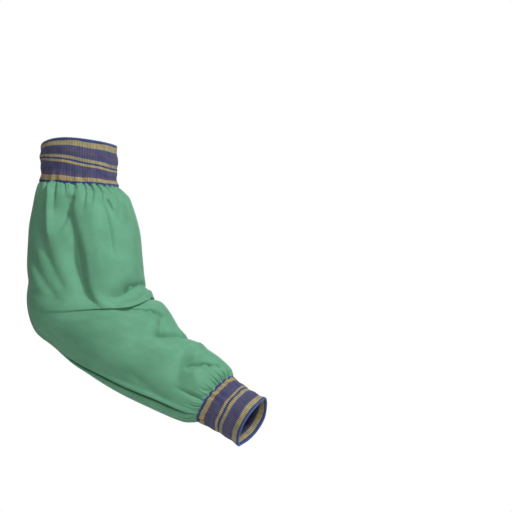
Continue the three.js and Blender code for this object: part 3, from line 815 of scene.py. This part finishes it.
def band_swell(at, around, phase):
    """The slow uneven swelling of an elastic band that gathered cloth pulls at."""
    angle = np.radians(around)
    first, second = RIPPLE_WAVES
    wander = RIPPLE_WANDER * np.sin(RIPPLE_WANDERS * angle + phase)
    ripples = 0.5 * np.sin(first * angle + wander) + 0.5 * np.sin(second * angle + phase)
    near_seam = np.exp(-((at / RIPPLE_REACH) ** 2))
    (slow, slow_waves), (quick, quick_waves) = ROLL_DRIFTS
    drift = slow * np.sin(slow_waves * angle + phase) + quick * np.sin(quick_waves * angle)
    roll = ROLL_HEIGHT * np.sin(2 * math.pi * at * ROLLS + drift)
    return RIPPLE_HEIGHT * ripples * (near_seam + RIPPLE_REST * (1 - at)) + roll


def stripe_shift(at, around, lean):
    """How far the stripes lie from their even places, as a share of the band's width."""
    angle = np.radians(around)
    slant = lean * np.sin(math.pi * at) ** 2 * (STRIPE_RISE - STRIPE_TILT * np.cos(angle))
    return slant + STRIPE_WAVER * np.sin(STRIPE_WAVERS * angle + STRIPE_TWIST * at)


def band_middle(band):
    """The closed line around a band, halfway between its seam and its rim."""
    return band_points(band, np.array([0.5]), np.arange(360.0))


def make_band(name, band):
    """An elastic band, ribbed outside and inside, in one closed surface, and the lines of its two ends."""
    ribs = 2 * round(perimeter(band_middle(band)) / RIB_PITCH / 2)
    columns = ribs * RIB_COLUMNS
    around = np.arange(columns) * 360 / columns
    at = np.linspace(0, 1, BAND_ROWS)
    if band["along_sleeve"] < 0:
        at = at[::-1]
    face = band_points(band, at[:, None], around[None, :])
    normals = grid_normals(face)
    swell = band_swell(at[:, None], around[None, :], band["phase"])
    whole = smoothstep(np.minimum(at, 1 - at), 0.0, RIB_END)
    relief = RIB_HEIGHT * rib_relief(around, ribs)[None, :] * whole[:, None]
    outer = face + normals * (swell + relief - RIB_HEIGHT)[..., None]
    inner = face + normals * (swell - relief - BAND_WALL + RIB_HEIGHT)[..., None]
    rows = [*outer, *inner[::-1]]
    shares = 1 - at[:, None] + stripe_shift(at[:, None], around[None, :], band["stripe_lean"])
    made = tube_object(name, rows, np.concatenate([shares, shares[::-1]]), band_material(ribs))
    ends = [outer[0] / 2 + inner[0] / 2, outer[-1] / 2 + inner[-1] / 2]
    return made, ends


def ring_cord(name, line, material):
    """A corded edge: a tube around a closed line, with the small scallops of its overlock stitches."""
    scallops = round(perimeter(line) / STITCH_PITCH)
    along = unit(np.roll(line, -1, axis=0) - np.roll(line, 1, axis=0))
    outward = unit(line - line.mean(axis=0))
    outward = unit(outward - (outward * along).sum(axis=1, keepdims=True) * along)
    across = np.cross(along, outward)
    turn = np.arange(len(line)) / len(line) * 2 * math.pi * scallops
    swell = CORD_RADIUS * (1 - SCALLOP + SCALLOP * np.abs(np.cos(turn / 2)))
    angles = np.linspace(0, 2 * math.pi, CORD_SIDES, endpoint=False)
    rings = [line + (outward * math.cos(a) + across * math.sin(a)) * swell[:, None] for a in angles]
    return tube_object(name, rings, np.linspace(0, 1, CORD_SIDES), material)


edge_thread = thread_material()
cloth, cloth_flat = make_cloth()
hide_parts("cloth_tube")
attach(cloth, "root")

for name, band, cad_node in (
    ("upper_band", UPPER_BAND, "upper_arm_band"),
    ("wrist_cuff", WRIST_BAND, "wrist_band"),
):
    elastic, ends = make_band(name, band)
    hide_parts(cad_node)
    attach(elastic, "root")
    for place, line in zip(("first", "second"), ends):
        cord = ring_cord(f"{name}_{place}_edge", line, edge_thread)
        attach(cord, "root")
    around_band = perimeter(band_middle(band))


# The stage: a pale floor well below the held-up sleeve, pale surroundings and soft lights, in metres.
MIDDLE = (0.09, -0.05, -0.18)
FLOOR_HEIGHT = -0.62
FLOOR_RADIUS = 0.55
FLOOR_SIDES = 96
SURROUNDINGS = 0.13
# Each light's name, place, size, power in watts and colour.
LIGHTS = [
    ("key", (1.2, -1.0, 1.2), 0.3, 35, (0.97, 1.0, 1.0)),
    ("fill", (0.3, -1.9, 0.5), 0.6, 22, (1.0, 0.98, 0.9)),
    ("top", (0.1, 0.5, 1.6), 1.2, 4, (1.0, 1.0, 0.95)),
    ("back", (0.1, 2.0, 0.2), 1.0, 26, (1.0, 1.0, 1.0)),
]


def make_floor():
    """A round pale floor, as part of the stage."""
    turns = [2 * math.pi * k / FLOOR_SIDES for k in range(FLOOR_SIDES)]
    rim = [
        (MIDDLE[0] + FLOOR_RADIUS * math.cos(a), MIDDLE[1] + FLOOR_RADIUS * math.sin(a), FLOOR_HEIGHT)
        for a in turns
    ]
    mesh = bpy.data.meshes.new("floor")
    mesh.from_pydata(rim, [], [tuple(range(FLOOR_SIDES))])
    made = bpy.data.objects.new("floor", mesh)
    bpy.context.collection.objects.link(made)
    material, _, shader = new_material("pale_floor", 0.9, 0.0, (1, 1, 1))
    shader.inputs["Base Color"].default_value = (0.9, 0.9, 0.9, 1)
    mesh.materials.append(material)


def make_light(name, place, size, power, colour):
    """A square soft light that faces the sleeve's middle."""
    lamp = bpy.data.lights.new(name, "AREA")
    lamp.shape = "SQUARE"
    lamp.size = size
    lamp.energy = power
    lamp.color = colour
    made = bpy.data.objects.new(name, lamp)
    made.location = place
    made.rotation_euler = (Vector(MIDDLE) - Vector(place)).to_track_quat("-Z", "Y").to_euler()
    bpy.context.collection.objects.link(made)


def make_surroundings():
    """A world that the camera sees as white and that lights the sleeve only a little."""
    world = bpy.data.worlds.new("surroundings")
    world.use_nodes = True
    tree = world.node_tree
    background = tree.nodes["Background"]
    background.inputs["Color"].default_value = (1, 1, 1, 1)
    seen = node(tree, "ShaderNodeLightPath")
    strength = node(tree, "ShaderNodeMapRange", {"To Min": SURROUNDINGS, "To Max": 1.0})
    tree.links.new(seen.outputs["Is Camera Ray"], strength.inputs["Value"])
    tree.links.new(strength.outputs["Result"], background.inputs["Strength"])
    bpy.context.scene.world = world


def make_camera():
    """The photograph's camera: level, and square on to the sleeve's front."""
    data = bpy.data.cameras.new("camera")
    data.lens = LENS
    data.sensor_width = SENSOR
    camera = bpy.data.objects.new("camera", data)
    camera.location = (VIEW_X * MM, -VIEW_DISTANCE * MM, VIEW_Z * MM)
    camera.rotation_euler = (math.radians(90), 0, 0)
    bpy.context.collection.objects.link(camera)
    bpy.context.scene.camera = camera


make_floor()
for light in LIGHTS:
    make_light(*light)
make_surroundings()
bpy.context.scene.view_settings.view_transform = "Standard"
make_camera()
